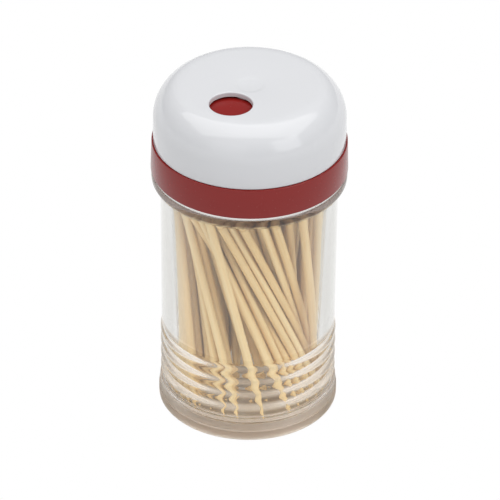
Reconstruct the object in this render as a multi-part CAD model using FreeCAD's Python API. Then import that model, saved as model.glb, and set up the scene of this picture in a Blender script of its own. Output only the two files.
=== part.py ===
import FreeCAD, Part
import math
import os
import random

# Toothpick dispenser for the table: a ribbed clear jar full of toothpicks, closed by
# a red push-on inner cap, and a white cap that snaps into the red one and turns on it.
# Turning the white cap brings its round hole over the hole in the red deck, and then
# a shake sends out one toothpick.
#
# Millimetres. +Z is up, and the origin is the middle of the foot, on the table.
# The front of the object looks along -Y.

# Toothpicks, which stand in the jar with the point down
pick_length = 65.0
pick_diameter = 2.10
pick_tip_diameter = 0.50
pick_taper = 9.0
pick_sides = 6
pick_gap = 0.06
pick_wall_gap = 0.20
pick_floor_gap = 0.05

# How the toothpicks lie: in rings, twisted most towards the front and the back
ring_step = 2.80
pick_room = 3.20
lay_least = 12.0
lay_more = 56.0
lay_lead = 20.0
lay_scatter = 6.0
lay_inset = 0.30

# Clear jar
jar_radius = 21.54
jar_wall = 1.78
jar_floor = 2.60
head_room = 3.20
foot_step = 0.61
foot_height = 3.40
foot_edge = 0.40
foot_shoulder = 0.25
foot_ring_width = 2.60
foot_recess = 1.60
flange_reach = 1.80
flange_thickness = 2.90
flange_underside_rise = 0.60
neck_height = 5.80
neck_step = 0.04
bead_proud = 0.36
bead_width = 1.60
bead_below_mouth = 2.40
bead_facets = 2

# Ribs round the bottom of the jar
rib_count = 4
rib_pitch = 3.80
rib_width = 3.10
rib_proud = 0.36
rib_sunk = 0.34
rib_facets = 3
first_rib = 8.60

# Red inner cap
seat_gap = 0.05
mouth_gap = 0.30
grip_fit = 0.08
skirt_wall = 2.06
skirt_lead_in = 0.30
shoulder_thickness = 1.50
drum_gap = 0.30
drum_wall = 1.30
drum_edge = 0.60
deck_thickness = 1.50

# White turning cap
rim_gap = 0.15
rim_step = 0.65
cap_height = 14.82
cap_wall = 1.40
cap_plate = 1.20
cap_side_bend = 9.87
cap_top_bend = 7.48
cap_bend_join = 45.0
cap_crest_angle = 72.0
cap_outer_facets = 2
cap_inner_facets = 1
dimple_radius = 3.20
dimple_depth = 0.25

# Hub that snaps the white cap into the red deck
hub_radius = 4.20
hub_gap = 0.58
thrust_gap = 0.04
post_radius = 2.60
turn_fit = 0.08
snap_lip = 0.55
snap_play = 0.15
snap_height = 2.20
snap_edge = 0.50
post_bore = 1.30
slot_width = 0.90
slot_overcut = 0.50

# Round holes that the toothpicks come out of
hole_radius = 5.20
hole_offset = 9.80
hole_edge = 0.30
cap_hole_angle = -117.3
deck_hole_angle = 62.7

# Sizes that follow from the ones above
floor_top = foot_recess + jar_floor
mouth = floor_top + pick_length + head_room
flange_top = mouth - neck_height
neck_radius = jar_radius - neck_step
mouth_radius = jar_radius - jar_wall
skirt_bore = neck_radius + bead_proud + grip_fit
skirt_radius = skirt_bore + skirt_wall
skirt_bottom = flange_top + seat_gap
shoulder_under = mouth + mouth_gap
shoulder_top = shoulder_under + shoulder_thickness
cap_rim = shoulder_top + rim_gap
cap_radius = skirt_radius - rim_step
cap_top = cap_rim + cap_height
cap_ceiling = cap_top - cap_plate
deck_top = cap_ceiling - hub_gap
deck_under = deck_top - deck_thickness


def polar(radius, degrees):
    """Two coordinates of a point at a radius and an angle."""
    angle = math.radians(degrees)
    return radius * math.cos(angle), radius * math.sin(angle)


def bend(centre, radius, start, end, facets):
    """Corners along an arc of an outline, from one angle to another, both ends included."""
    corners = []
    for number in range(facets + 1):
        across, up = polar(radius, start + (end - start) * number / facets)
        corners.append((centre[0] + across, centre[1] + up))
    return corners


def swell(radius, height, proud, width, facets):
    """Corners of a bulge on an outline that rises: it stands proud of a radius."""
    half = 2.0 * math.degrees(math.atan(2.0 * proud / width))
    curve = width / 2.0 / math.sin(math.radians(half))
    return bend((radius + proud - curve, height), curve, -half, half, facets)


def chamfered(before, corner, after, width):
    """The two corners that a chamfer puts in place of one."""
    here = FreeCAD.Vector(corner[0], 0, corner[1])
    cut = []
    for other in (before, after):
        way = FreeCAD.Vector(other[0], 0, other[1]) - here
        way.normalize()
        end = here + way * width
        cut.append((end.x, end.z))
    return cut


def turned(outline):
    """Solid turned round the Z axis from a closed outline of radius and height.

    A corner is (radius, height), or (radius, height, chamfer) where its edge is broken.
    """
    corners = []
    for index, corner in enumerate(outline):
        if len(corner) == 3:
            before = outline[index - 1]
            after = outline[(index + 1) % len(outline)]
            corners += chamfered(before, corner, after, corner[2])
        else:
            corners.append(corner)
    points = [FreeCAD.Vector(radius, 0, height) for radius, height in corners]
    face = Part.Face(Part.makePolygon(points + points[:1]))
    return face.revolve(FreeCAD.Vector(0, 0, 0), FreeCAD.Vector(0, 0, 1), 360)


def clear_jar():
    """Jar with a hollow foot, ribs, a flange and a beaded neck."""
    foot_radius = jar_radius + foot_step
    ring_inside = foot_radius - foot_ring_width
    root = jar_radius - rib_sunk
    outline = [
        (0.0, foot_recess),
        (ring_inside, foot_recess),
        (ring_inside, 0.0),
        (foot_radius, 0.0, foot_edge),
        (foot_radius, foot_height),
        (root, foot_height + foot_shoulder),
    ]
    for rib in range(rib_count):
        height = first_rib + rib * rib_pitch
        outline += swell(root, height, rib_sunk + rib_proud, rib_width, rib_facets)
    ribs_end = first_rib + (rib_count - 0.5) * rib_pitch
    flange_under = flange_top - flange_thickness
    flange_radius = neck_radius + flange_reach
    outline += [
        (root, ribs_end),
        (jar_radius, ribs_end + rib_sunk),
        (jar_radius, flange_under - flange_underside_rise),
        (flange_radius, flange_under),
        (flange_radius, flange_top),
        (neck_radius, flange_top),
    ]
    outline += swell(neck_radius, mouth - bead_below_mouth, bead_proud, bead_width, bead_facets)
    outline += [
        (neck_radius, mouth),
        (mouth_radius, mouth),
        (mouth_radius, floor_top),
        (0.0, floor_top),
    ]
    return turned(outline)


def cap_shoulder(inward, facets):
    """Corners of the white cap's rounded edge, moved inward, from its side to its top.

    The edge is two arcs that meet smoothly, the tighter one at the top.
    """
    step, rise = polar(cap_side_bend - cap_top_bend, cap_bend_join)
    side_middle = cap_radius - cap_side_bend
    top_height = cap_top - cap_top_bend * math.sin(math.radians(cap_crest_angle))
    side = bend((side_middle, top_height - rise), cap_side_bend - inward,
                0.0, cap_bend_join, facets)
    top = bend((side_middle + step, top_height), cap_top_bend - inward,
               cap_bend_join, cap_crest_angle, facets)
    return side + top[1:]


def holed(solid, top, depth, angle):
    """The solid with a round hole through its top plate, its upper edge chamfered."""
    tool = turned([
        (0.0, top - depth),
        (hole_radius, top - depth),
        (hole_radius, top - hole_edge),
        (hole_radius + hole_edge, top),
        (hole_radius + hole_edge, top + depth),
        (0.0, top + depth),
    ])
    across, along = polar(hole_offset, angle)
    tool.translate(FreeCAD.Vector(across, along, 0))
    return solid.cut(tool)


def red_inner_cap():
    """Stepped inner cap: a skirt that grips the neck, a drum and a holed deck."""
    drum_radius = cap_shoulder(cap_wall, cap_inner_facets)[-1][0] - drum_gap
    cup = turned([
        (skirt_radius, skirt_bottom),
        (skirt_radius, shoulder_top),
        (drum_radius, shoulder_top),
        (drum_radius, deck_top, drum_edge),
        (post_radius + turn_fit, deck_top),
        (post_radius + turn_fit, deck_under),
        (drum_radius - drum_wall, deck_under),
        (drum_radius - drum_wall, shoulder_under),
        (skirt_bore, shoulder_under),
        (skirt_bore, skirt_bottom + skirt_lead_in),
        (skirt_bore + skirt_lead_in, skirt_bottom),
    ])
    return holed(cup, deck_top, 2.0 * deck_thickness, deck_hole_angle)


def white_dial_cap():
    """Domed cap with a flat top, a round hole and a slotted snap hub below."""
    lip_top = deck_under - snap_play
    lip_bottom = lip_top - snap_height
    lip_radius = post_radius + snap_lip
    inside = cap_shoulder(cap_wall, cap_inner_facets)
    outline = [(cap_radius, cap_rim)]
    outline += cap_shoulder(0.0, cap_outer_facets)
    outline += [
        (dimple_radius + dimple_depth, cap_top),
        (dimple_radius, cap_top - dimple_depth),
        (0.0, cap_top - dimple_depth),
        (0.0, deck_under),
        (post_bore, deck_under),
        (post_bore, lip_bottom),
        (post_radius - snap_lip / 2.0, lip_bottom),
        (lip_radius, lip_top - snap_edge),
        (lip_radius, lip_top),
        (post_radius, lip_top),
        (post_radius, deck_top + thrust_gap),
        (hub_radius, deck_top + thrust_gap),
        (hub_radius, inside[-1][1]),
    ]
    outline += inside[::-1]
    outline += [(cap_radius - cap_wall, cap_rim)]
    skin = turned(outline)
    slot_long = 2.0 * (lip_radius + slot_overcut)
    slot_high = deck_under - lip_bottom + slot_overcut
    for long_x, long_y in ((slot_long, slot_width), (slot_width, slot_long)):
        corner = FreeCAD.Vector(-long_x / 2.0, -long_y / 2.0, lip_bottom - slot_overcut)
        skin = skin.cut(Part.makeBox(long_x, long_y, slot_high, corner))
    return holed(skin, cap_top, 2.0 * cap_plate, cap_hole_angle)


class Pick:
    """One toothpick's axis: where its tip and its head stand in plan."""

    def __init__(self, radius, angle, half_twist):
        self.tip = list(polar(radius, angle + half_twist))
        self.head = list(polar(radius, angle - half_twist))

    def axis(self):
        """Tip and the way to the head, in space."""
        across = self.head[0] - self.tip[0]
        along = self.head[1] - self.tip[1]
        rise = math.sqrt(pick_length ** 2 - across ** 2 - along ** 2)
        lift = floor_top + pick_floor_gap + pick_tip_diameter / 2.0
        return (self.tip[0], self.tip[1], lift), (across, along, rise)

    def keep_inside(self, limit):
        for end in (self.tip, self.head):
            away = math.hypot(end[0], end[1])
            if away > limit:
                end[0] *= limit / away
                end[1] *= limit / away


def ring_radii():
    """Radii of the rings that the toothpicks start from, the outer one first."""
    radius = mouth_radius - pick_diameter / 2.0 - pick_wall_gap - lay_inset
    radii = []
    while radius > pick_diameter:
        radii.append(radius)
        radius -= ring_step
    return radii


def lay_rings():
    """Toothpicks in twisted rings, before they settle. Inner rings are laid thinner."""
    scatter = random.Random(7)
    rings = []
    radii = ring_radii()
    for number, radius in enumerate(radii):
        full = 2.0 * math.pi * radius / pick_room
        count = int(full * math.sqrt(radius / radii[0]))
        ring = []
        for place in range(count):
            angle = 360.0 * (place + 0.5 * (number % 2)) / count
            facing = math.cos(math.radians(angle + 90.0 - lay_lead))
            half_twist = lay_least + lay_more * facing ** 2
            half_twist += scatter.uniform(-lay_scatter, lay_scatter)
            ring.append(Pick(radius, angle, half_twist))
        rings.append(ring)
    return rings


def nearest(one, other):
    """Nearest places of two axes, as shares of their length, and the way between."""
    (px, py, pz), (ux, uy, uz) = one
    (qx, qy, qz), (vx, vy, vz) = other
    wx, wy, wz = px - qx, py - qy, pz - qz
    uu = ux * ux + uy * uy + uz * uz
    vv = vx * vx + vy * vy + vz * vz
    uv = ux * vx + uy * vy + uz * vz
    uw = ux * wx + uy * wy + uz * wz
    vw = vx * wx + vy * wy + vz * wz
    spread = uu * vv - uv * uv
    first = 0.5
    if spread > 1e-6:
        first = min(1.0, max(0.0, (uv * vw - uw * vv) / spread))
    second = min(1.0, max(0.0, (uv * first + vw) / vv))
    first = min(1.0, max(0.0, (uv * second - uw) / uu))
    return first, second, (wx + ux * first - vx * second,
                           wy + uy * first - vy * second,
                           wz + uz * first - vz * second)


def nudge(pick, share, across, along):
    """Shift a toothpick sideways at one place, which moves its two ends by their share."""
    weight = (1.0 - share) ** 2 + share ** 2
    pick.tip[0] += across * (1.0 - share) / weight
    pick.tip[1] += along * (1.0 - share) / weight
    pick.head[0] += across * share / weight
    pick.head[1] += along * share / weight


def settle(picks):
    """Push the toothpicks apart, and back inside the jar, until none touches another."""
    limit = mouth_radius - pick_diameter / 2.0 - pick_wall_gap
    apart = pick_diameter + pick_gap
    look = 3.0 * pick_diameter
    near = []
    for turn in range(900):
        axes = [pick.axis() for pick in picks]
        if turn % 10 == 0:
            near = [(one, other) for one in range(len(picks)) for other in range(one)
                    if math.dist((0, 0, 0), nearest(axes[one], axes[other])[2]) < look]
        worst = 0.0
        for one, other in near:
            first, second, way = nearest(axes[one], axes[other])
            distance = math.dist((0, 0, 0), way)
            if distance < apart:
                flat = max(math.hypot(way[0], way[1]), 0.2 * distance, 1e-6)
                push = 0.26 * (apart - distance) * distance / flat ** 2
                nudge(picks[one], first, way[0] * push, way[1] * push)
                nudge(picks[other], second, -way[0] * push, -way[1] * push)
                worst = max(worst, apart - distance)
        for pick in picks:
            pick.keep_inside(limit)
        if worst < pick_gap / 3.0:
            break
    print("toothpicks", len(picks), "rounds", turn, "closest gap", round(pick_gap - worst, 3))


def pick_shape():
    """One toothpick on the Z axis, with its tip at the origin."""
    rings = []
    for height, width in ((0.0, pick_tip_diameter), (pick_taper, pick_diameter),
                          (pick_length, pick_diameter)):
        ring = []
        for side in range(pick_sides):
            across, along = polar(width / 2.0, 360.0 * side / pick_sides)
            ring.append(FreeCAD.Vector(across, along, height))
        rings.append(ring)
    faces = [Part.Face(Part.makePolygon(ring + ring[:1])) for ring in (rings[0], rings[-1])]
    for low, high in zip(rings, rings[1:]):
        for side in range(pick_sides):
            after = (side + 1) % pick_sides
            around = [low[side], low[after], high[after], high[side], low[side]]
            faces.append(Part.Face(Part.makePolygon(around)))
    shape = Part.Solid(Part.Shell(faces))
    if shape.Volume < 0.0:
        shape.reverse()
    return shape


def placed(shape, pick, roll):
    """A copy of the toothpick on its axis, rolled about itself."""
    tip, way = pick.axis()
    turn = FreeCAD.Rotation(FreeCAD.Vector(0, 0, 1), FreeCAD.Vector(*way))
    spin = FreeCAD.Rotation(FreeCAD.Vector(0, 0, 1), roll)
    copy = shape.copy()
    copy.Placement = FreeCAD.Placement(FreeCAD.Vector(*tip), turn.multiply(spin))
    return copy


def toothpicks():
    """The settled toothpicks by node: the outer ring one by one, inner rings by ring."""
    rings = lay_rings()
    settle([pick for ring in rings for pick in ring])
    rolls = random.Random(11)
    shape = pick_shape()
    nodes = {}
    for number, ring in enumerate(rings):
        solids = [placed(shape, pick, rolls.uniform(0.0, 60.0)) for pick in ring]
        if number == 0:
            for place, solid in enumerate(solids):
                nodes["toothpick_%02d" % (place + 1)] = solid
        else:
            nodes["toothpicks_ring_%d" % (number + 1)] = Part.makeCompound(solids)
    return nodes


def build():
    nodes = {
        "clear_jar": clear_jar(),
        "red_inner_cap": red_inner_cap(),
        "white_dial_cap": white_dial_cap(),
    }
    nodes.update(toothpicks())
    os.makedirs("parts", exist_ok=True)
    for name, shape in nodes.items():
        shape.exportStep("parts/%s.step" % name)
    return nodes


build()
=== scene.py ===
import math
import random

import bpy
from mathutils import Euler, Matrix, Vector


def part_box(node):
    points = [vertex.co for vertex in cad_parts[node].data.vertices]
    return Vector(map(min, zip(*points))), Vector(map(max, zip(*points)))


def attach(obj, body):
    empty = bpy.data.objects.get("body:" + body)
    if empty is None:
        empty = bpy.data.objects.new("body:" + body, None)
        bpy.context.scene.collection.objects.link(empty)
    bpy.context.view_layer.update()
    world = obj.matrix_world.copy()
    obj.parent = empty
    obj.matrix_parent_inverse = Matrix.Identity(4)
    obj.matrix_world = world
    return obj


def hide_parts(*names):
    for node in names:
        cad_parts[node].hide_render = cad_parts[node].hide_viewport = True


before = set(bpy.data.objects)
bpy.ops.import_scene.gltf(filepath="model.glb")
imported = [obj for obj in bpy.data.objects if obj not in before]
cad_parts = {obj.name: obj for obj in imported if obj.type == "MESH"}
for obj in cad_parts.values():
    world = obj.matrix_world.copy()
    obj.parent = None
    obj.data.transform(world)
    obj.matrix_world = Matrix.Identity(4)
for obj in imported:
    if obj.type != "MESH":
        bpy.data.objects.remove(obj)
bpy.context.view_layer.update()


# Camera
# A long lens from a metre away, looking down at the jar from the front. The middle of
# the dispenser lies a little above and left of the picture's middle, and leans slightly.
mm = 0.001
picture_width = 500.0
focal_pixels = 4076.5
sensor_width = 36.0
nearest_seen = 0.05
farthest_seen = 20.0
look_down = math.radians(33.574)
camera_roll = math.radians(0.471)
aim_height = 44.0 * mm
aim_pixel = (248.8, 242.3)
camera_distance = 1.0

facing = Euler((math.pi / 2.0 - look_down, 0.0, 0.0)).to_matrix()
facing = facing @ Matrix.Rotation(camera_roll, 3, "Z")
aside = (picture_width / 2.0 - aim_pixel[0]) / focal_pixels * camera_distance
below = (picture_width / 2.0 - aim_pixel[1]) / focal_pixels * camera_distance
centre = Vector((0.0, 0.0, aim_height))
place = centre + facing @ Vector((aside, -below, camera_distance))

bpy.ops.object.camera_add(location=place, rotation=facing.to_euler())
camera = bpy.context.object
camera.name = "Camera"
camera.data.sensor_width = sensor_width
camera.data.lens = focal_pixels / picture_width * sensor_width
camera.data.clip_start = nearest_seen
camera.data.clip_end = farthest_seen
bpy.context.scene.camera = camera
bpy.context.scene.view_settings.view_transform = "Standard"


# Studio
# A plain pale table in a pale room, a broad soft light overhead, a window-shaped one in
# front at the right, and a weak fill in front at the left.
table_size = 6.0
table_drop = 0.02 * mm
matt_radius = 24.0 * mm
white_radius = 50.0 * mm


def math_node(nodes, operation):
    """A math node that does one operation."""
    node = nodes.new("ShaderNodeMath")
    node.operation = operation
    return node


def table_shader(name, under, colour, near, far):
    """White to the camera, and matt for the light. The table that the clear plastic shows
    is matt under and round the jar, with a tan tint there that is painted warm shade, and
    turns white further away."""
    material = bpy.data.materials.new(name)
    material.use_nodes = True
    nodes = material.node_tree.nodes
    links = material.node_tree.links
    nodes.clear()
    output = nodes.new("ShaderNodeOutputMaterial")
    mix = nodes.new("ShaderNodeMixShader")
    matt = nodes.new("ShaderNodeBsdfDiffuse")
    glow = nodes.new("ShaderNodeEmission")
    path = nodes.new("ShaderNodeLightPath")
    where = nodes.new("ShaderNodeTexCoord")
    away = nodes.new("ShaderNodeVectorMath")
    away.operation = "LENGTH"
    ring = nodes.new("ShaderNodeMapRange")
    ring.interpolation_type = "SMOOTHSTEP"
    ring.inputs["From Min"].default_value = near
    ring.inputs["From Max"].default_value = far
    bent = math_node(nodes, "MAXIMUM")
    shown = math_node(nodes, "MULTIPLY")
    seen = math_node(nodes, "MAXIMUM")
    tint = nodes.new("ShaderNodeMix")
    tint.data_type = "RGBA"
    tint.inputs["A"].default_value = under
    tint.inputs["B"].default_value = colour
    links.new(ring.outputs["Result"], tint.inputs["Factor"])
    links.new(tint.outputs["Result"], matt.inputs["Color"])
    glow.inputs["Color"].default_value = (1.0, 1.0, 1.0, 1.0)
    glow.inputs["Strength"].default_value = 1.0
    links.new(where.outputs["Object"], away.inputs[0])
    links.new(away.outputs["Value"], ring.inputs["Value"])
    links.new(path.outputs["Is Transmission Ray"], bent.inputs[0])
    links.new(path.outputs["Is Glossy Ray"], bent.inputs[1])
    links.new(bent.outputs[0], shown.inputs[0])
    links.new(ring.outputs["Result"], shown.inputs[1])
    links.new(path.outputs["Is Camera Ray"], seen.inputs[0])
    links.new(shown.outputs[0], seen.inputs[1])
    links.new(seen.outputs[0], mix.inputs["Fac"])
    links.new(matt.outputs[0], mix.inputs[1])
    links.new(glow.outputs[0], mix.inputs[2])
    links.new(mix.outputs[0], output.inputs["Surface"])
    return material


bpy.ops.object.select_all(action="DESELECT")
bpy.ops.mesh.primitive_plane_add(size=table_size, location=(0.0, 0.0, -table_drop))
table = bpy.context.object
table.name = "Table"
bpy.ops.object.transform_apply(location=True, rotation=True, scale=True)
# The tan colour under and round the jar is painted warm shade from the sticks.
table.data.materials.append(table_shader(
    "pale_table", under=(0.90, 0.81, 0.71, 1.0), colour=(0.82, 0.82, 0.82, 1.0),
    near=matt_radius, far=white_radius))

world = bpy.data.worlds.new("pale_room")
bpy.context.scene.world = world
world.use_nodes = True
room = world.node_tree
room_light = room.nodes["Background"]
room_light.inputs["Color"].default_value = (0.93, 0.95, 1.0, 1.0)
room_light.inputs["Strength"].default_value = 0.30
room_seen = room.nodes.new("ShaderNodeBackground")
room_seen.inputs["Color"].default_value = (1.0, 1.0, 1.0, 1.0)
room_seen.inputs["Strength"].default_value = 1.0
room_mix = room.nodes.new("ShaderNodeMixShader")
room_path = room.nodes.new("ShaderNodeLightPath")
room_both = math_node(room.nodes, "MAXIMUM")
room.links.new(room_path.outputs["Is Camera Ray"], room_both.inputs[0])
room.links.new(room_path.outputs["Is Transmission Ray"], room_both.inputs[1])
room.links.new(room_both.outputs[0], room_mix.inputs["Fac"])
room.links.new(room_light.outputs[0], room_mix.inputs[1])
room.links.new(room_seen.outputs[0], room_mix.inputs[2])
room.links.new(room_mix.outputs[0], room.nodes["World Output"].inputs["Surface"])


def soft_light(name, place, size, power, colour):
    """An area light at a place, turned to the middle of the dispenser."""
    towards = (centre - Vector(place)).to_track_quat("-Z", "Y").to_euler()
    bpy.ops.object.light_add(type="AREA", location=place, rotation=towards)
    light = bpy.context.object
    light.name = name
    light.data.shape = "RECTANGLE"
    light.data.size = size[0]
    light.data.size_y = size[1]
    light.data.energy = power
    light.data.color = colour


soft_light("Overhead", place=(0.0, -0.06, 1.05), size=(2.6, 1.3), power=19.3,
           colour=(1.0, 0.995, 0.985))
soft_light("Window_Right", place=(0.86, -0.84, 0.56), size=(0.7, 0.75), power=3.0,
           colour=(0.98, 0.99, 1.0))
soft_light("Front_Fill", place=(-0.5, -1.1, 0.35), size=(0.9, 0.9), power=1.3,
           colour=(1.0, 1.0, 1.0))


# Clear jar
# One clear moulding: a hollow foot with a step, four round ribs that run into each other
# low on the wall, a flange under the red cap, and a neck with a grip bead.
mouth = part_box("clear_jar")[1][2]
foot_radius = 22.18 * mm
foot_height = 5.5 * mm
foot_step = 2.6 * mm
foot_inset = 0.3 * mm
foot_ring_width = 2.6 * mm
foot_recess = 3.2 * mm
foot_groove = 0.25 * mm
foot_edge = 0.5 * mm
foot_top_edge = 0.35 * mm
step_rise = 0.12 * mm
step_root = 0.1 * mm
groove_rise = 0.1 * mm
groove_edge = 0.15 * mm
groove_run = 1.0 * mm
jar_radius = 21.66 * mm
jar_taper = 0.26 * mm
jar_wall = 1.8 * mm
jar_inner_draft = 0.2 * mm
floor_top = 4.2 * mm
floor_edge = 0.8 * mm
flange_top = mouth - 6.35 * mm
flange_thickness = 2.9 * mm
flange_radius = 23.8 * mm
flange_low_edge = 1.2 * mm
flange_top_edge = 1.1 * mm
flange_fillet = 0.5 * mm
flange_drop = 0.6 * mm
neck_radius = 21.5 * mm
bead_proud = 0.36 * mm
bead_width = 1.6 * mm
bead_height = mouth - 2.4 * mm
bead_steps = 8
rib_pitch = 3.8 * mm
rib_swing = 0.22 * mm
rib_lift = 0.06 * mm
rib_steps = 16
first_rib = 8.6 * mm
rib_count = 4
rib_run_out = 0.5 * mm
soft_edge = 0.4 * mm
fine_edge = 0.3 * mm
weld_gap = 0.002 * mm
smooth_angle = 28.0


def bend(middle, radius, start, end, steps):
    """Points of an arc, as radius and height, from one angle to another in degrees."""
    points = []
    for step in range(steps + 1):
        angle = math.radians(start + (end - start) * step / steps)
        points.append((middle[0] + radius * math.cos(angle),
                       middle[1] + radius * math.sin(angle)))
    return points


def corner(before, tip, after, radius, steps=4, most=0.45):
    """Points of a rounded corner of an outline. It takes up at most a share of a side."""
    tip = Vector(tip)
    back = Vector(before) - tip
    ahead = Vector(after) - tip
    room = most * min(back.length, ahead.length)
    back.normalize()
    ahead.normalize()
    half = back.angle(ahead) / 2.0
    reach = min(radius / math.tan(half), room)
    radius = reach * math.tan(half)
    middle = tip + (back + ahead).normalized() * (radius / math.sin(half))
    start = tip + back * reach - middle
    sweep = start.angle_signed(tip + ahead * reach - middle)
    points = []
    for step in range(steps + 1):
        point = middle + Matrix.Rotation(-sweep * step / steps, 2) @ start
        points.append((point.x, point.y))
    return points


def swell(radius, height, proud, width, steps):
    """Points of a round bulge on an outline that rises."""
    half = 2.0 * math.degrees(math.atan(2.0 * proud / width))
    curve = width / 2.0 / math.sin(math.radians(half))
    return bend((radius + proud - curve, height), curve, -half, half, steps)


def rounded(outline):
    """The outline with its rounded corners worked out. A point that is to be rounded has
    its rounding as a third value, after radius and height."""
    points = []
    for index, step in enumerate(outline):
        if len(step) == 2:
            points.append(step)
        else:
            before = outline[index - 1][:2]
            after = outline[(index + 1) % len(outline)][:2]
            points += corner(before, step[:2], after, step[2])
    return points


def turned(name, outline, steps=160, smooth=smooth_angle):
    """A piece spun round the Z axis from an outline of radius and height."""
    bpy.ops.object.select_all(action="DESELECT")
    start = outline[0]
    bpy.ops.mesh.primitive_plane_add(size=mm, location=(start[0], 0.0, start[1]))
    piece = bpy.context.object
    piece.name = name
    bpy.ops.object.transform_apply(location=True, rotation=True, scale=True)
    bpy.ops.object.mode_set(mode="EDIT")
    bpy.ops.mesh.select_all(action="SELECT")
    bpy.ops.mesh.merge(type="CENTER")
    for before, after in zip(outline, outline[1:]):
        step = (after[0] - before[0], 0.0, after[1] - before[1])
        bpy.ops.mesh.extrude_region_move(TRANSFORM_OT_translate={"value": step})
    bpy.ops.mesh.select_all(action="SELECT")
    bpy.ops.mesh.spin(steps=steps, angle=2.0 * math.pi, center=(0, 0, 0), axis=(0, 0, 1))
    bpy.ops.mesh.select_all(action="SELECT")
    bpy.ops.mesh.remove_doubles(threshold=weld_gap)
    bpy.ops.mesh.normals_make_consistent(inside=False)
    bpy.ops.object.mode_set(mode="OBJECT")
    bpy.ops.object.shade_smooth_by_angle(angle=math.radians(smooth))
    return piece


def jar_side(height):
    """Radius of the jar's plain wall at a height."""
    share = (flange_top - height) / (flange_top - foot_height)
    return jar_radius - jar_taper * share


ring_inside = foot_radius - foot_ring_width
jar_outline = [
    (0.0, foot_recess),
    (ring_inside - foot_recess / 2.0, foot_recess, soft_edge),
    (ring_inside, 0.0, fine_edge),
    (foot_radius, 0.0, foot_edge),
    (foot_radius, foot_step, fine_edge),
    (foot_radius - foot_inset, foot_step + step_rise, step_root),
    (foot_radius - foot_inset, foot_height, foot_top_edge),
    (jar_side(foot_height) - foot_groove, foot_height + groove_rise, groove_edge),
    (jar_side(foot_height), foot_height + groove_run, soft_edge),
]
ribs_start = first_rib - rib_pitch / 2.0
for step in range(rib_count * rib_steps + 1):
    height = ribs_start + rib_pitch * step / rib_steps
    wave = math.cos(2.0 * math.pi * (height - first_rib) / rib_pitch)
    jar_outline.append((jar_side(height) + rib_lift + rib_swing * wave, height))
ribs_end = ribs_start + rib_count * rib_pitch
flange_under = flange_top - flange_thickness
jar_outline += [
    (jar_side(ribs_end), ribs_end + rib_run_out, soft_edge),
    (jar_side(flange_under), flange_under - flange_drop, flange_fillet),
    (flange_radius, flange_under, flange_low_edge),
    (flange_radius, flange_top, flange_top_edge),
    (neck_radius, flange_top),
]
jar_outline += swell(neck_radius, bead_height, bead_proud, bead_width, bead_steps)
jar_outline += [
    (neck_radius, mouth, soft_edge),
    (jar_radius - jar_wall, mouth, soft_edge),
    (jar_radius - jar_wall - jar_inner_draft, floor_top, floor_edge),
    (0.0, floor_top),
]
clear_jar = turned("Clear_Jar", rounded(jar_outline))


def multiply_node(nodes):
    """A node that multiplies one colour by another."""
    node = nodes.new("ShaderNodeMix")
    node.data_type = "RGBA"
    node.blend_type = "MULTIPLY"
    node.inputs["Factor"].default_value = 1.0
    return node


def finish_group():
    """Moulded plastic: faint cloudiness in the colour, an uneven gloss and fine dust."""
    speck_radius = 0.10
    group = bpy.data.node_groups.new("moulded_surface", "ShaderNodeTree")
    face = group.interface
    face.new_socket("Tint", in_out="INPUT", socket_type="NodeSocketColor")
    for name in ("Cloud", "Gloss", "Gloss Change", "Ripple Size", "Dust"):
        face.new_socket(name, in_out="INPUT", socket_type="NodeSocketFloat")
    face.new_socket("Color", in_out="OUTPUT", socket_type="NodeSocketColor")
    for name in ("Roughness", "Height"):
        face.new_socket(name, in_out="OUTPUT", socket_type="NodeSocketFloat")
    nodes, links = group.nodes, group.links
    inside = nodes.new("NodeGroupInput")
    outside = nodes.new("NodeGroupOutput")
    where = nodes.new("ShaderNodeTexCoord")
    cloud = nodes.new("ShaderNodeTexNoise")
    cloud.inputs["Scale"].default_value = 60.0
    cloud.inputs["Detail"].default_value = 3.0
    ripple = nodes.new("ShaderNodeTexNoise")
    ripple.inputs["Detail"].default_value = 1.0
    specks = nodes.new("ShaderNodeTexVoronoi")
    specks.inputs["Scale"].default_value = 900.0
    for pattern in (cloud, ripple, specks):
        links.new(where.outputs["Object"], pattern.inputs["Vector"])
    links.new(inside.outputs["Ripple Size"], ripple.inputs["Scale"])

    darker = multiply_node(nodes)
    amount = math_node(nodes, "MULTIPLY")
    links.new(cloud.outputs["Fac"], amount.inputs[0])
    links.new(inside.outputs["Cloud"], amount.inputs[1])
    links.new(amount.outputs[0], darker.inputs["Factor"])
    links.new(inside.outputs["Tint"], darker.inputs["A"])
    darker.inputs["B"].default_value = (0.55, 0.52, 0.50, 1.0)
    links.new(darker.outputs["Result"], outside.inputs["Color"])

    near = math_node(nodes, "LESS_THAN")
    near.inputs[1].default_value = speck_radius
    links.new(specks.outputs["Distance"], near.inputs[0])
    dusty = math_node(nodes, "MULTIPLY")
    links.new(near.outputs[0], dusty.inputs[0])
    links.new(inside.outputs["Dust"], dusty.inputs[1])
    change = math_node(nodes, "MULTIPLY_ADD")
    links.new(cloud.outputs["Fac"], change.inputs[0])
    links.new(inside.outputs["Gloss Change"], change.inputs[1])
    links.new(inside.outputs["Gloss"], change.inputs[2])
    total = math_node(nodes, "ADD")
    links.new(change.outputs[0], total.inputs[0])
    links.new(dusty.outputs[0], total.inputs[1])
    links.new(total.outputs[0], outside.inputs["Roughness"])
    links.new(ripple.outputs["Fac"], outside.inputs["Height"])
    return group


moulded_surface = finish_group()


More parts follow.
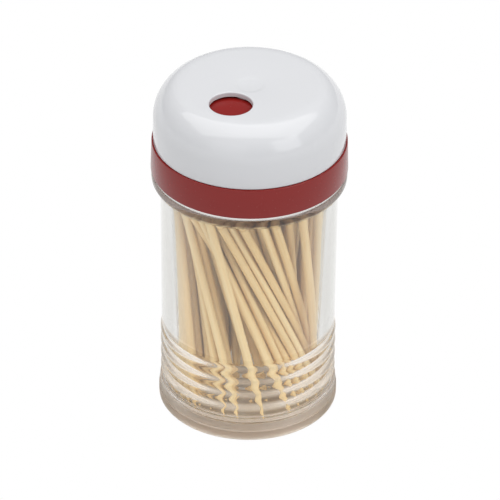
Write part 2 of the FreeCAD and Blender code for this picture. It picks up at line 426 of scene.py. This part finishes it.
def plastic(name, tint, cloud, gloss, change, ripple_size, ripple_depth, dust):
    """Principled plastic with the moulded surface. Constants are set on the shader."""
    material = bpy.data.materials.new(name)
    material.use_nodes = True
    nodes, links = material.node_tree.nodes, material.node_tree.links
    shader = nodes["Principled BSDF"]
    surface = nodes.new("ShaderNodeGroup")
    surface.node_tree = moulded_surface
    surface.inputs["Tint"].default_value = (*tint, 1.0)
    surface.inputs["Cloud"].default_value = cloud
    surface.inputs["Gloss"].default_value = gloss
    surface.inputs["Gloss Change"].default_value = change
    surface.inputs["Ripple Size"].default_value = ripple_size
    surface.inputs["Dust"].default_value = dust
    bump = nodes.new("ShaderNodeBump")
    bump.inputs["Strength"].default_value = 1.0
    bump.inputs["Distance"].default_value = ripple_depth
    links.new(surface.outputs["Color"], shader.inputs["Base Color"])
    links.new(surface.outputs["Roughness"], shader.inputs["Roughness"])
    links.new(surface.outputs["Height"], bump.inputs["Height"])
    links.new(bump.outputs["Normal"], shader.inputs["Normal"])
    return material, shader


clear_plastic, clear_shader = plastic(
    "clear_plastic", tint=(0.955, 0.957, 0.948), cloud=0.02, gloss=0.015, change=0.02,
    ripple_size=120.0, ripple_depth=0.004 * mm, dust=0.0)
clear_shader.inputs["Transmission Weight"].default_value = 1.0
clear_shader.inputs["IOR"].default_value = 1.57
nodes, links = clear_plastic.node_tree.nodes, clear_plastic.node_tree.links


def band_colours(bands):
    """A colour by height on the jar, from a list of heights and colours."""
    where = nodes.new("ShaderNodeTexCoord")
    parts = nodes.new("ShaderNodeSeparateXYZ")
    share = math_node(nodes, "DIVIDE")
    share.inputs[1].default_value = mouth
    ramp = nodes.new("ShaderNodeValToRGB")
    links.new(where.outputs["Object"], parts.inputs[0])
    links.new(parts.outputs["Z"], share.inputs[0])
    links.new(share.outputs[0], ramp.inputs["Fac"])
    stops = ramp.color_ramp.elements
    while len(stops) < len(bands):
        stops.new(0.5)
    for stop, (height, colour) in zip(stops, bands):
        stop.position = height / mouth
        stop.color = (*colour, 1.0)
    return ramp.outputs["Color"]


# The foot's ring is tinted brownish and the flange darkened, both painted shade: the foot
# for the shadowed table and sticks seen through it, the flange for the red cap's shade
# above it. The wall between them stays clear.
clear = (1.0, 1.0, 1.0)
none = (0.0, 0.0, 0.0)
painted_foot_shade = (0.52, 0.46, 0.42)
painted_flange_shade = (0.08, 0.05, 0.04)
fade = 0.3 * mm
shade_inset = 0.4 * mm
shade_end = 0.1 * mm
tinted = multiply_node(nodes)
surface = next(node for node in nodes if node.type == "GROUP")
links.new(surface.outputs["Color"], tinted.inputs["A"])
links.new(band_colours([
    (0.0, painted_foot_shade), (foot_step, painted_foot_shade), (foot_step + fade, clear),
    (flange_under + shade_inset, clear), (flange_under + 2.0 * shade_inset, painted_flange_shade),
    (flange_top - shade_inset, painted_flange_shade), (flange_top - shade_end, clear), (mouth, clear),
]), tinted.inputs["B"])

# At the sides the light goes a longer way through the wall, which deepens its colour.
limb_start = 0.45
limb_full = 0.62
limb_tint = (0.58, 0.575, 0.55, 1.0)
limb = nodes.new("ShaderNodeLayerWeight")
limb.inputs["Blend"].default_value = 0.5
limb_share = nodes.new("ShaderNodeMapRange")
limb_share.inputs["From Min"].default_value = limb_start
limb_share.inputs["From Max"].default_value = limb_full
links.new(limb.outputs["Facing"], limb_share.inputs["Value"])
deepened = multiply_node(nodes)
deepened.inputs["B"].default_value = limb_tint
links.new(limb_share.outputs["Result"], deepened.inputs["Factor"])
links.new(tinted.outputs["Result"], deepened.inputs["A"])
links.new(deepened.outputs["Result"], clear_shader.inputs["Base Color"])

# The foot is rougher than the wall and blurs what lies behind it.
foot_roughness = 0.30
softer = nodes.new("ShaderNodeMix")
softer.data_type = "FLOAT"
softer.inputs["B"].default_value = foot_roughness
links.new(surface.outputs["Roughness"], softer.inputs["A"])
links.new(band_colours([
    (0.0, clear), (foot_height - 2.0 * fade, clear), (foot_height - fade, none),
]), softer.inputs["Factor"])
links.new(softer.outputs["Result"], clear_shader.inputs["Roughness"])

# Light on its way to the toothpicks goes straight through the jar, and so does a ray that
# has met many walls before.
many_walls = 3.5
path = nodes.new("ShaderNodeLightPath")
deep = math_node(nodes, "GREATER_THAN")
deep.inputs[1].default_value = many_walls
light_ray = math_node(nodes, "MAXIMUM")
deep_through = nodes.new("ShaderNodeBsdfTransparent")
deep_through.inputs["Color"].default_value = (0.93, 0.925, 0.91, 1.0)
light_through = nodes.new("ShaderNodeBsdfTransparent")
light_through.inputs["Color"].default_value = (0.99, 0.988, 0.98, 1.0)
first = nodes.new("ShaderNodeMixShader")
second = nodes.new("ShaderNodeMixShader")
links.new(path.outputs["Ray Depth"], deep.inputs[0])
links.new(path.outputs["Is Shadow Ray"], light_ray.inputs[0])
links.new(path.outputs["Is Diffuse Ray"], light_ray.inputs[1])
links.new(deep.outputs[0], first.inputs["Fac"])
links.new(clear_shader.outputs[0], first.inputs[1])
links.new(deep_through.outputs[0], first.inputs[2])
links.new(light_ray.outputs[0], second.inputs["Fac"])
links.new(first.outputs[0], second.inputs[1])
links.new(light_through.outputs[0], second.inputs[2])
links.new(second.outputs[0], nodes["Material Output"].inputs["Surface"])
clear_jar.data.materials.append(clear_plastic)
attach(clear_jar, "jar")
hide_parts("clear_jar")


# Toothpicks
# Plain round wooden sticks, pointed below, with two turned grooves under the blunt
# head. Each one stands where its solid stands in the jar, and no two are the same tone.
pick_length = 65.0 * mm
pick_radius = 1.05 * mm
tip_radius = 0.18 * mm
tip_round = 0.15 * mm
taper = 9.0 * mm
taper_curve = ((0.55, 0.42), (0.88, 0.80), (1.0, 1.12))
head_edge = 0.12 * mm
groove_depth = 0.24 * mm
groove_half = 0.30 * mm
groove_flat = 0.3
grooves_below_head = (4.9 * mm, 1.5 * mm)

pick_outline = [(0.0, 0.0), (tip_radius, tip_round)]
pick_outline += [(pick_radius * wide, taper * high) for wide, high in taper_curve]
for below_head in grooves_below_head:
    height = pick_length - below_head
    pick_outline += [
        (pick_radius, height - groove_half),
        (pick_radius - groove_depth, height - groove_half * groove_flat),
        (pick_radius - groove_depth, height + groove_half * groove_flat),
        (pick_radius, height + groove_half),
    ]
pick_outline += [
    (pick_radius, pick_length - head_edge),
    (pick_radius - head_edge, pick_length),
    (0.0, pick_length),
]
model_pick = turned("Model_Toothpick", pick_outline, steps=14, smooth=35.0)


def standing_axes(node, digits=6, rings=3):
    """Tip and head of each toothpick in a node, read from the node's own mesh. Each solid
    has rings of corners at its tip, at the end of its taper and at its head."""
    mesh = node.data
    spots = {}
    groups = []
    for polygon in mesh.polygons:
        keys = []
        for vertex in polygon.vertices:
            place = mesh.vertices[vertex].co
            keys.append(tuple(round(value, digits) for value in place))
        joined = {spots[key] for key in keys if key in spots}
        if joined:
            target = min(joined)
        else:
            target = len(groups)
            groups.append(set())
        for other in joined - {target}:
            for key in groups[other]:
                spots[key] = target
            groups[target] |= groups[other]
            groups[other] = set()
        for key in keys:
            spots[key] = target
            groups[target].add(key)
    axes = []
    for group in groups:
        if group:
            ring = sorted(group, key=lambda spot: spot[2])
            sides = len(ring) // rings
            tip = sum((Vector(spot) for spot in ring[:sides]), Vector()) / sides
            head = sum((Vector(spot) for spot in ring[-sides:]), Vector()) / sides
            axes.append((tip, head))
    return axes


def wood_grain():
    """Pale wood with long fibres, and a tone of its own for each stick."""
    material = bpy.data.materials.new("toothpick_wood")
    material.use_nodes = True
    nodes, links = material.node_tree.nodes, material.node_tree.links
    shader = nodes["Principled BSDF"]
    along = nodes.new("ShaderNodeAttribute")
    along.attribute_name = "fibre"
    tone = nodes.new("ShaderNodeAttribute")
    tone.attribute_name = "tone"
    grain = nodes.new("ShaderNodeTexNoise")
    grain.inputs["Scale"].default_value = 1.0
    grain.inputs["Detail"].default_value = 4.0
    grain.inputs["Roughness"].default_value = 0.62
    links.new(along.outputs["Vector"], grain.inputs["Vector"])
    ramp = nodes.new("ShaderNodeValToRGB")
    ramp.color_ramp.elements[0].position = 0.30
    ramp.color_ramp.elements[0].color = (0.89, 0.65, 0.31, 1.0)
    ramp.color_ramp.elements[1].position = 0.66
    ramp.color_ramp.elements[1].color = (0.94, 0.755, 0.43, 1.0)
    links.new(grain.outputs["Fac"], ramp.inputs["Fac"])
    toned = multiply_node(nodes)
    tone_ramp = nodes.new("ShaderNodeValToRGB")
    tone_ramp.color_ramp.elements[0].color = (0.90, 0.82, 0.70, 1.0)
    tone_ramp.color_ramp.elements[1].color = (1.0, 1.0, 1.0, 1.0)
    links.new(tone.outputs["Fac"], tone_ramp.inputs["Fac"])
    links.new(ramp.outputs["Color"], toned.inputs["A"])
    links.new(tone_ramp.outputs["Color"], toned.inputs["B"])
    links.new(toned.outputs["Result"], shader.inputs["Base Color"])
    shader.inputs["Roughness"].default_value = 0.62
    bump = nodes.new("ShaderNodeBump")
    bump.inputs["Distance"].default_value = 0.05 * mm
    bump.inputs["Strength"].default_value = 0.7
    links.new(grain.outputs["Fac"], bump.inputs["Height"])
    links.new(bump.outputs["Normal"], shader.inputs["Normal"])
    return material


toothpick_wood = wood_grain()
draws = random.Random(23)
grain_shift = 40.0
grain_across = 1.5
grain_along = 0.06
thinnest = 0.90
thickest = 0.97


def stand_pick(tip, head):
    """A copy of the model toothpick on its axis, with its own mesh, tone and fibres."""
    mesh = model_pick.data.copy()
    shift = draws.uniform(0.0, grain_shift)
    slim = draws.uniform(thinnest, thickest)
    mesh.attributes.new("fibre", "FLOAT_VECTOR", "POINT")
    mesh.attributes.new("tone", "FLOAT", "POINT")
    fibre = mesh.attributes["fibre"]
    tone = mesh.attributes["tone"]
    own_tone = draws.uniform(0.0, 1.0)
    for vertex in mesh.vertices:
        spot = vertex.co
        fibre.data[vertex.index].vector = (spot.x / mm * grain_across + shift,
                                           spot.y / mm * grain_across + shift,
                                           spot.z / mm * grain_along + shift)
        tone.data[vertex.index].value = own_tone
    way = head - tip
    turn = way.to_track_quat("Z", "Y").to_matrix().to_4x4()
    roll = Matrix.Rotation(draws.uniform(0.0, 2.0 * math.pi), 4, "Z")
    size = Matrix.Diagonal((slim, slim, way.length / pick_length, 1.0))
    mesh.transform(Matrix.Translation(tip) @ turn @ roll @ size)
    return mesh


pick_nodes = sorted(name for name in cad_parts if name.startswith("toothpick"))
for node_name in pick_nodes:
    bpy.ops.object.select_all(action="DESELECT")
    for tip, head in standing_axes(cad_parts[node_name]):
        stick = bpy.data.objects.new(node_name.title(), stand_pick(tip, head))
        bpy.context.collection.objects.link(stick)
        stick.select_set(True)
        bpy.context.view_layer.objects.active = stick
    if len(bpy.context.selected_objects) > 1:
        bpy.ops.object.join()
    sticks = bpy.context.object
    sticks.name = node_name.title()
    sticks.data.materials.clear()
    sticks.data.materials.append(toothpick_wood)
    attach(sticks, "jar")
    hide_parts(node_name)
bpy.data.objects.remove(model_pick)


# Red inner cap
# One glossy red moulding. Its skirt grips the jar's neck, the white cap's rim runs on its
# shoulder, and its flat deck shows through the white cap's hole while that is shut.
red_low, red_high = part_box("red_inner_cap")
skirt_reach = 0.3 * mm
skirt_bottom = red_low[2] - skirt_reach
deck_top = red_high[2]
deck_plate = 1.5 * mm
deck_under = deck_top - deck_plate
shoulder_top = mouth + 1.8 * mm
shoulder_under = mouth + 0.3 * mm
shoulder_edge = 0.2 * mm
skirt_radius = 23.95 * mm
skirt_draft = 0.25 * mm
skirt_bore = 21.94 * mm
skirt_edge = 0.25 * mm
skirt_lead_in = 0.3 * mm
drum_top = 16.68 * mm
drum_foot = 17.18 * mm
drum_wall = 1.3 * mm
drum_edge = 1.0 * mm
drum_inner_edge = 0.5 * mm
drum_inner_root = 0.3 * mm
post_hole = 2.68 * mm
hole_radius = 5.2 * mm
hole_offset = 9.8 * mm
hole_edge = 0.35 * mm
deck_hole_depth = 3.0 * mm
deck_hole_angle = math.radians(62.7)

red_outline = rounded([
    (skirt_radius, skirt_bottom, skirt_edge),
    (skirt_radius - skirt_draft, shoulder_top, shoulder_edge),
    (drum_foot, shoulder_top),
    (drum_top, deck_top, drum_edge),
    (post_hole, deck_top),
    (post_hole, deck_under),
    (drum_top - drum_wall, deck_under, drum_inner_edge),
    (drum_foot - drum_wall, shoulder_under, drum_inner_root),
    (skirt_bore, shoulder_under),
    (skirt_bore, skirt_bottom + skirt_lead_in),
    (skirt_bore + skirt_lead_in, skirt_bottom),
])
red_cap = turned("Red_Inner_Cap", red_outline + red_outline[:1])


def cut_away(piece, cutter):
    """Take the shape of a cutter out of a piece. The cutter goes."""
    cut = piece.modifiers.new("Cut", "BOOLEAN")
    cut.operation = "DIFFERENCE"
    cut.solver = "EXACT"
    cut.object = cutter
    bpy.context.view_layer.objects.active = piece
    bpy.ops.object.modifier_apply(modifier=cut.name)
    bpy.data.objects.remove(cutter)


def bored(piece, top, depth, angle):
    """Cut a round hole with a rounded upper edge through a piece."""
    outline = [(0.0, top - depth), (hole_radius, top - depth)]
    outline += bend((hole_radius + hole_edge, top - hole_edge), hole_edge, 180.0, 90.0, 6)
    outline += [(hole_radius + hole_edge, top + depth), (0.0, top + depth)]
    cutter = turned("Hole_Cutter", outline, steps=96)
    away = (hole_offset * math.cos(angle), hole_offset * math.sin(angle), 0.0)
    cutter.data.transform(Matrix.Translation(away))
    cut_away(piece, cutter)
    bpy.ops.object.select_all(action="DESELECT")
    piece.select_set(True)
    bpy.ops.object.mode_set(mode="EDIT")
    bpy.ops.mesh.select_all(action="SELECT")
    bpy.ops.mesh.remove_doubles(threshold=weld_gap)
    bpy.ops.mesh.dissolve_degenerate(threshold=weld_gap)
    bpy.ops.object.mode_set(mode="OBJECT")
    bpy.ops.object.shade_smooth_by_angle(angle=math.radians(smooth_angle))


bored(red_cap, deck_top, deck_hole_depth, deck_hole_angle)
red_plastic, red_shader = plastic(
    "red_plastic", tint=(0.235, 0.011, 0.009), cloud=0.10, gloss=0.18, change=0.08,
    ripple_size=140.0, ripple_depth=0.006 * mm, dust=0.1)
red_shader.inputs["IOR"].default_value = 1.42
red_shader.inputs["Subsurface Weight"].default_value = 0.05
red_shader.inputs["Subsurface Radius"].default_value = (0.003, 0.0006, 0.0006)
red_cap.data.materials.clear()
red_cap.data.materials.append(red_plastic)
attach(red_cap, "inner_cap")
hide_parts("red_inner_cap")


# White turning cap
# One high-gloss white moulding: a skirt that rounds over into a flat top, the mark of
# the gate in its middle, the dispensing hole, and the slotted snap hub underneath.
cap_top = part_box("white_dial_cap")[1][2]
rim_gap = 0.15 * mm
rim_inset = 0.08 * mm
rim_rise = 0.22 * mm
cap_rim = shoulder_top + rim_gap
cap_radius = 23.38 * mm
cap_draft = 0.07 * mm
cap_wall = 1.4 * mm
cap_plate = 1.2 * mm
side_bend = 9.87 * mm
top_bend = 7.48 * mm
bend_join = 45.0
outside_steps = 16
inside_steps = 12
crest_angle = 72.0
crest_left_out = 7
crest_run = 2.2 * mm
crest_steps = 10
dimple_radius = 3.2 * mm
dimple_depth = 0.25 * mm
dimple_curve = ((0.7 * mm, 0.0), (0.3 * mm, 0.04 * mm), (-0.2 * mm, 0.16 * mm),
                (-0.8 * mm, dimple_depth))
hub_radius = 4.2 * mm
thrust_gap = 0.04 * mm
post_radius = 2.6 * mm
post_bore = 1.3 * mm
snap_lip = 0.55 * mm
snap_flat = 0.5 * mm
snap_play = 0.15 * mm
snap_height = 2.2 * mm
slot_width = 0.9 * mm
slot_margin = 1.0 * mm
cap_hole_depth = 2.4 * mm
cap_hole_angle = math.radians(-117.3)


def cap_edge(inward, steps):
    """Points of the cap's rounded edge, moved inward, from the side up to the crest."""
    join = math.radians(bend_join)
    gap = side_bend - top_bend
    side_middle = cap_radius - cap_draft - side_bend
    top_height = cap_top - top_bend * math.sin(math.radians(crest_angle))
    low = (side_middle, top_height - gap * math.sin(join))
    high = (side_middle + gap * math.cos(join), top_height)
    points = bend(low, side_bend - inward, 0.0, bend_join, steps)
    return points + bend(high, top_bend - inward, bend_join, crest_angle, steps)[1:]


cap_ceiling = cap_top - cap_plate
lip_top = deck_under - snap_play
lip_bottom = lip_top - snap_height
outside = cap_edge(0.0, outside_steps)[:-crest_left_out]
inside = cap_edge(cap_wall, inside_steps)

# The last steps of the outer arc give way to one soft curve, which goes on in the arc's
# direction and ends level with the top.
before, start = outside[-2:]
climb = (cap_top - start[1]) / (start[1] - before[1])
tip = (start[0] + (start[0] - before[0]) * climb, cap_top)
level = (tip[0] - crest_run, cap_top)
for step in range(1, crest_steps + 1):
    share = step / crest_steps
    weights = ((1.0 - share) ** 2, 2.0 * share * (1.0 - share), share ** 2)
    outside.append(tuple(weights[0] * start[axis] + weights[1] * tip[axis]
                         + weights[2] * level[axis] for axis in range(2)))

cap_outline = [(cap_radius - rim_inset, cap_rim), (cap_radius, cap_rim + rim_rise)]
cap_outline += outside
cap_outline += [(dimple_radius + out, cap_top - down) for out, down in dimple_curve]
cap_outline += [
    (0.0, cap_top - dimple_depth),
    (0.0, deck_under),
    (post_bore, deck_under),
    (post_bore, lip_bottom),
    (post_radius - snap_lip / 2.0, lip_bottom),
    (post_radius + snap_lip, lip_top - snap_flat),
    (post_radius + snap_lip, lip_top),
    (post_radius, lip_top),
    (post_radius, deck_top + thrust_gap),
    (hub_radius, deck_top + thrust_gap),
    (hub_radius, cap_ceiling),
]
cap_outline += inside[::-1]
cap_outline += [(cap_radius - cap_wall, cap_rim), (cap_radius - rim_inset, cap_rim)]
white_cap = turned("White_Dial_Cap", cap_outline, steps=192)

slot_long = 2.0 * (post_radius + snap_lip) + slot_margin
slot_high = deck_under - lip_bottom + slot_margin
for slot_size in ((slot_long, slot_width), (slot_width, slot_long)):
    bpy.ops.object.select_all(action="DESELECT")
    bpy.ops.mesh.primitive_cube_add(size=1.0, location=(0, 0, deck_under - slot_high / 2.0),
                                    scale=(slot_size[0], slot_size[1], slot_high))
    cut_away(white_cap, bpy.context.object)
bored(white_cap, cap_top, cap_hole_depth, cap_hole_angle)

white_plastic, white_shader = plastic(
    "white_plastic", tint=(0.65, 0.655, 0.67), cloud=0.03, gloss=0.08, change=0.03,
    ripple_size=70.0, ripple_depth=0.006 * mm, dust=0.05)
white_shader.inputs["IOR"].default_value = 1.5
white_cap.data.materials.clear()
white_cap.data.materials.append(white_plastic)
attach(white_cap, "dial_cap")
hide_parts("white_dial_cap")
